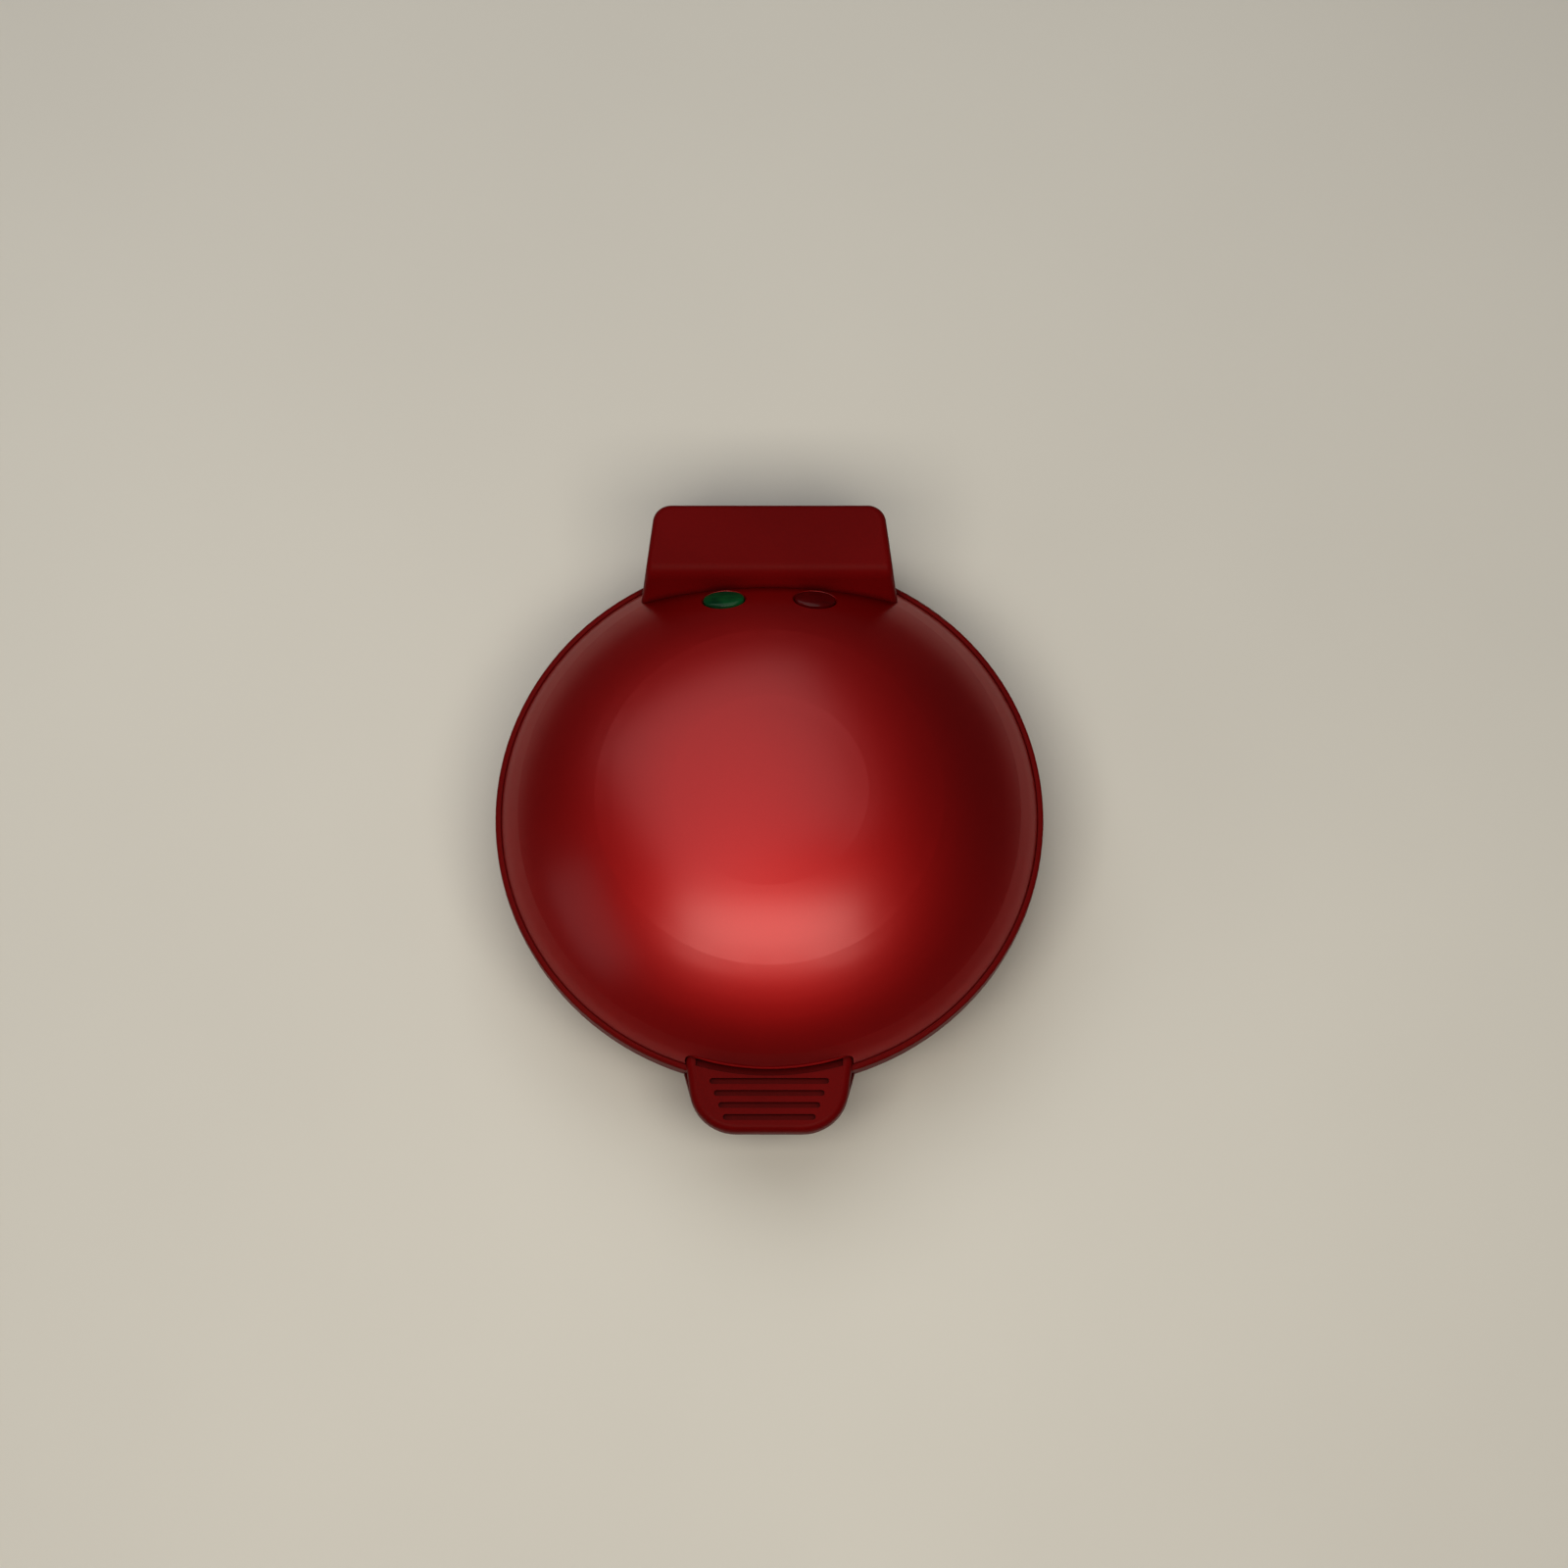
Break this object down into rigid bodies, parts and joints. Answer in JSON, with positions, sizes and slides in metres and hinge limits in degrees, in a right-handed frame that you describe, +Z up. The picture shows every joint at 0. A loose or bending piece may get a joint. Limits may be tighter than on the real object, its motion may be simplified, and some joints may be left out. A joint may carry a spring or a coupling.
{
  "type": "quesadilla maker",
  "caption": "Round electric quesadilla maker with a domed hinged lid, wedge-pocket plates, signal lights, front handles and a hinge hood at the back.",
  "frame": {"origin": "centre of the box's footprint on the surface that the feet stand on, which is also the axis of the round plates", "axes": "+X to the right seen from the front, +Y towards the hinge at the back, +Z up"},
  "size_m": [0.236, 0.279, 0.1027],
  "materials": {
    "red_moulding": "satin, fine grain",
    "red_paint": "metallic red, glossy",
    "black_phenolic": "satin",
    "nonstick_casting": "dark non-stick coating",
    "zinc_strip": "zinc plated",
    "screw_steel": "zinc plated",
    "element_sheath": "heat-darkened",
    "terminal_steel": "nickel plated",
    "shield_sheet": "aluminised sheet",
    "thermostat_can": "satin",
    "fuse_brass": "satin",
    "white_ceramic": "glazed",
    "black_rubber": "matte",
    "pin_steel": "ground",
    "black_nylon": "satin",
    "glass_fibre_braid": "braided",
    "green_lens_plastic": "tinted, glossy",
    "red_lens_plastic": "tinted, glossy",
    "lamp_glass": "clear",
    "white_heatproof": "satin"
  },
  "bodies": {
    "base": {"base_housing": "red_moulding", "base_bezel": "black_phenolic", "base_bezel_screws": "screw_steel", "lower_plate": "nonstick_casting", "lower_plate_clips": "zinc_strip", "lower_clip_screws": "screw_steel", "lower_heater": "element_sheath", "lower_heater_terminals": "terminal_steel", "lower_heat_shield": "shield_sheet", "lower_shield_screws": "screw_steel", "thermostat": "thermostat_can", "thermostat_screws": "screw_steel", "terminal_block": "white_ceramic", "terminal_block_screws": "screw_steel", "cord_gland": "black_rubber", "hinge_pin": "pin_steel", "hinge_bush": "black_nylon", "rubber_feet": "black_rubber", "base_lead_sleeve": "glass_fibre_braid"},
    "lid": {"lid_frame": "red_moulding", "lid_dome": "red_paint", "dome_clips": "zinc_strip", "dome_clip_screws": "screw_steel", "green_lens": "green_lens_plastic", "red_lens": "red_lens_plastic", "green_lamp": "lamp_glass", "red_lamp": "lamp_glass", "lamp_holders": "white_heatproof", "lamp_holder_screws": "screw_steel", "lid_bezel": "black_phenolic", "lid_bezel_screws": "screw_steel", "upper_plate": "nonstick_casting", "upper_plate_clips": "zinc_strip", "upper_clip_screws": "screw_steel", "upper_heater": "element_sheath", "upper_heater_terminals": "terminal_steel", "upper_heat_shield": "shield_sheet", "upper_shield_screws": "screw_steel", "thermal_fuse": "fuse_brass", "fuse_clip": "zinc_strip", "lid_terminal_block": "white_ceramic", "lid_block_screws": "screw_steel", "lid_lead_sleeve": "glass_fibre_braid"}
  },
  "joints": [
    {"name": "lid_hinge", "type": "hinge", "parent": "base", "child": "lid", "pos_m": [0, 0.128, 0.05], "axis": [-1, 0, 0], "range_deg": [0, 97]}
  ]
}
